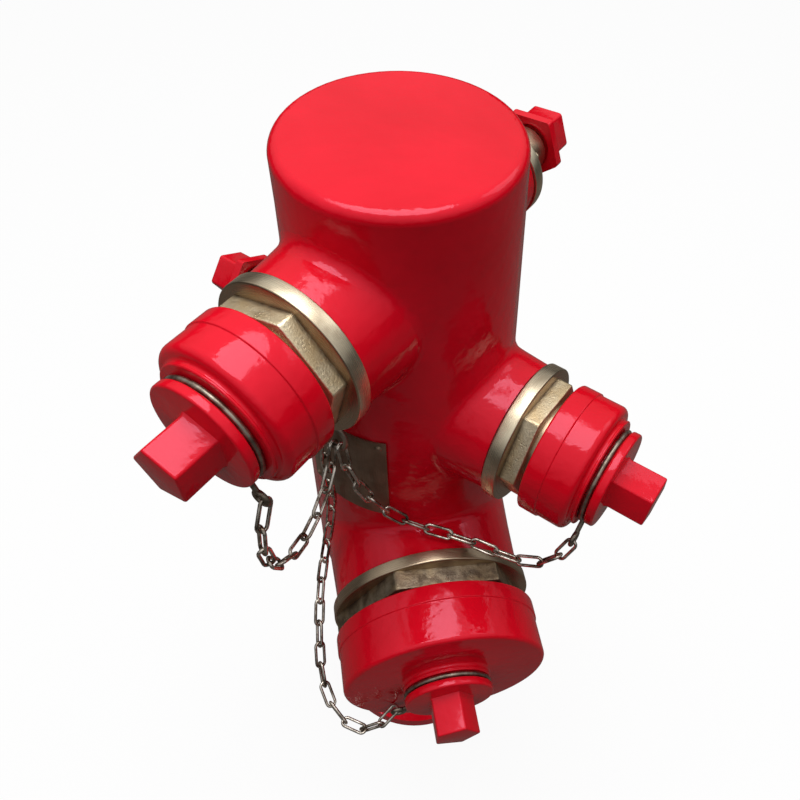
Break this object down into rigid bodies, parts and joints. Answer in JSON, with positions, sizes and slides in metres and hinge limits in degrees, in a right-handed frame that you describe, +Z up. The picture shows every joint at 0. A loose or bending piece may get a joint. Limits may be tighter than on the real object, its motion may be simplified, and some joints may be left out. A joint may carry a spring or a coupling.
{
  "type": "wet barrel fire hydrant",
  "caption": "Wet barrel fire hydrant: red cast barrel with hose and pumper outlets, brass nozzles, chained screw caps, and a valve stem with operating nut behind each outlet.",
  "frame": {"origin": "centre of the base flange's underside, on the barrel's axis", "axes": "+Z up along the barrel; -Y the way the pumper outlet faces; +X to the right of someone who looks along +Y at the pumper outlet"},
  "size_m": [0.3488, 0.4738, 0.86],
  "materials": {
    "red_enamel": "gloss enamel",
    "cast_brass": "cast and machined",
    "valve_bronze": "machined bronze",
    "dark_steel": "dark drawn wire",
    "chain_steel": "bare bent wire",
    "plate_metal": "bare sheet",
    "black_rubber": "moulded"
  },
  "bodies": {
    "barrel": {"barrel": "red_enamel", "nameplate": "plate_metal", "nameplate_rivets": "plate_metal", "chain_eye": "dark_steel", "chain_anchor_ring": "dark_steel", "upper_hose_nozzle": "cast_brass", "upper_hose_nozzle_seal": "black_rubber", "upper_hose_stem_insert": "cast_brass", "upper_hose_insert_gasket": "black_rubber", "upper_hose_stem_seals": "black_rubber", "upper_hose_chain": "chain_steel", "lower_hose_nozzle": "cast_brass", "lower_hose_nozzle_seal": "black_rubber", "lower_hose_stem_insert": "cast_brass", "lower_hose_insert_gasket": "black_rubber", "lower_hose_stem_seals": "black_rubber", "lower_hose_chain": "chain_steel", "pumper_nozzle": "cast_brass", "pumper_nozzle_seal": "black_rubber", "pumper_stem_insert": "cast_brass", "pumper_insert_gasket": "black_rubber", "pumper_stem_seals": "black_rubber", "pumper_chain": "chain_steel"},
    "upper_hose_ring": {"upper_hose_cap_ring": "dark_steel"},
    "upper_hose_cap": {"upper_hose_cap": "red_enamel", "upper_hose_cap_gasket": "black_rubber"},
    "upper_hose_valve": {"upper_hose_valve_carrier": "valve_bronze", "upper_hose_valve_rubber": "black_rubber", "upper_hose_rubber_retainer": "valve_bronze", "upper_hose_valve_nut": "valve_bronze"},
    "upper_hose_stem": {"upper_hose_stem": "valve_bronze", "upper_hose_operating_nut": "red_enamel"},
    "lower_hose_ring": {"lower_hose_cap_ring": "dark_steel"},
    "lower_hose_cap": {"lower_hose_cap": "red_enamel", "lower_hose_cap_gasket": "black_rubber"},
    "lower_hose_valve": {"lower_hose_valve_carrier": "valve_bronze", "lower_hose_valve_rubber": "black_rubber", "lower_hose_rubber_retainer": "valve_bronze", "lower_hose_valve_nut": "valve_bronze"},
    "lower_hose_stem": {"lower_hose_stem": "valve_bronze", "lower_hose_operating_nut": "red_enamel"},
    "pumper_ring": {"pumper_cap_ring": "dark_steel"},
    "pumper_cap": {"pumper_cap": "red_enamel", "pumper_cap_gasket": "black_rubber"},
    "pumper_valve": {"pumper_valve_carrier": "valve_bronze", "pumper_valve_rubber": "black_rubber", "pumper_rubber_retainer": "valve_bronze", "pumper_valve_nut": "valve_bronze"},
    "pumper_stem": {"pumper_stem": "valve_bronze", "pumper_operating_nut": "red_enamel"}
  },
  "joints": [
    {"name": "upper_hose_ring_slide", "type": "slide", "parent": "barrel", "child": "upper_hose_ring", "axis": [-0.7071, -0.7071, 0], "range_m": [0, 0.0205], "deforming": ["upper_hose_chain"]},
    {"name": "upper_hose_cap_screw", "type": "hinge", "parent": "upper_hose_ring", "child": "upper_hose_cap", "pos_m": [0, 0, 0.766], "axis": [-0.7071, -0.7071, 0], "range_deg": [0, 2160]},
    {"name": "upper_hose_valve_slide", "type": "slide", "parent": "barrel", "child": "upper_hose_valve", "axis": [0.7071, 0.7071, 0], "range_m": [0, 0.0256]},
    {"name": "upper_hose_stem_screw", "type": "hinge", "parent": "upper_hose_valve", "child": "upper_hose_stem", "pos_m": [0, 0, 0.766], "axis": [0.7071, 0.7071, 0], "range_deg": [0, 1440]},
    {"name": "lower_hose_ring_slide", "type": "slide", "parent": "barrel", "child": "lower_hose_ring", "axis": [0.7071, -0.7071, 0], "range_m": [0, 0.0205], "deforming": ["lower_hose_chain"]},
    {"name": "lower_hose_cap_screw", "type": "hinge", "parent": "lower_hose_ring", "child": "lower_hose_cap", "pos_m": [0, 0, 0.65], "axis": [0.7071, -0.7071, 0], "range_deg": [0, 2160]},
    {"name": "lower_hose_valve_slide", "type": "slide", "parent": "barrel", "child": "lower_hose_valve", "axis": [-0.7071, 0.7071, 0], "range_m": [0, 0.0256]},
    {"name": "lower_hose_stem_screw", "type": "hinge", "parent": "lower_hose_valve", "child": "lower_hose_stem", "pos_m": [0, 0, 0.65], "axis": [-0.7071, 0.7071, 0], "range_deg": [0, 1440]},
    {"name": "pumper_ring_slide", "type": "slide", "parent": "barrel", "child": "pumper_ring", "axis": [0, -1, 0], "range_m": [0, 0.0256], "deforming": ["pumper_chain"]},
    {"name": "pumper_cap_screw", "type": "hinge", "parent": "pumper_ring", "child": "pumper_cap", "pos_m": [0, 0, 0.461], "axis": [0, -1, 0], "range_deg": [0, 1440]},
    {"name": "pumper_valve_slide", "type": "slide", "parent": "barrel", "child": "pumper_valve", "axis": [0, 1, 0], "range_m": [0, 0.0447]},
    {"name": "pumper_stem_screw", "type": "hinge", "parent": "pumper_valve", "child": "pumper_stem", "pos_m": [0, 0, 0.461], "axis": [0, 1, 0], "range_deg": [0, 2520]}
  ],
  "couplings": [
    {"joint": "upper_hose_ring_slide", "follows": "upper_hose_cap_screw", "m_per_rad": 0.00053906},
    {"joint": "upper_hose_valve_slide", "follows": "upper_hose_stem_screw", "m_per_rad": 0.0010106},
    {"joint": "lower_hose_ring_slide", "follows": "lower_hose_cap_screw", "m_per_rad": 0.00053906},
    {"joint": "lower_hose_valve_slide", "follows": "lower_hose_stem_screw", "m_per_rad": 0.0010106},
    {"joint": "pumper_ring_slide", "follows": "pumper_cap_screw", "m_per_rad": 0.0010106},
    {"joint": "pumper_valve_slide", "follows": "pumper_stem_screw", "m_per_rad": 0.0010106}
  ]
}
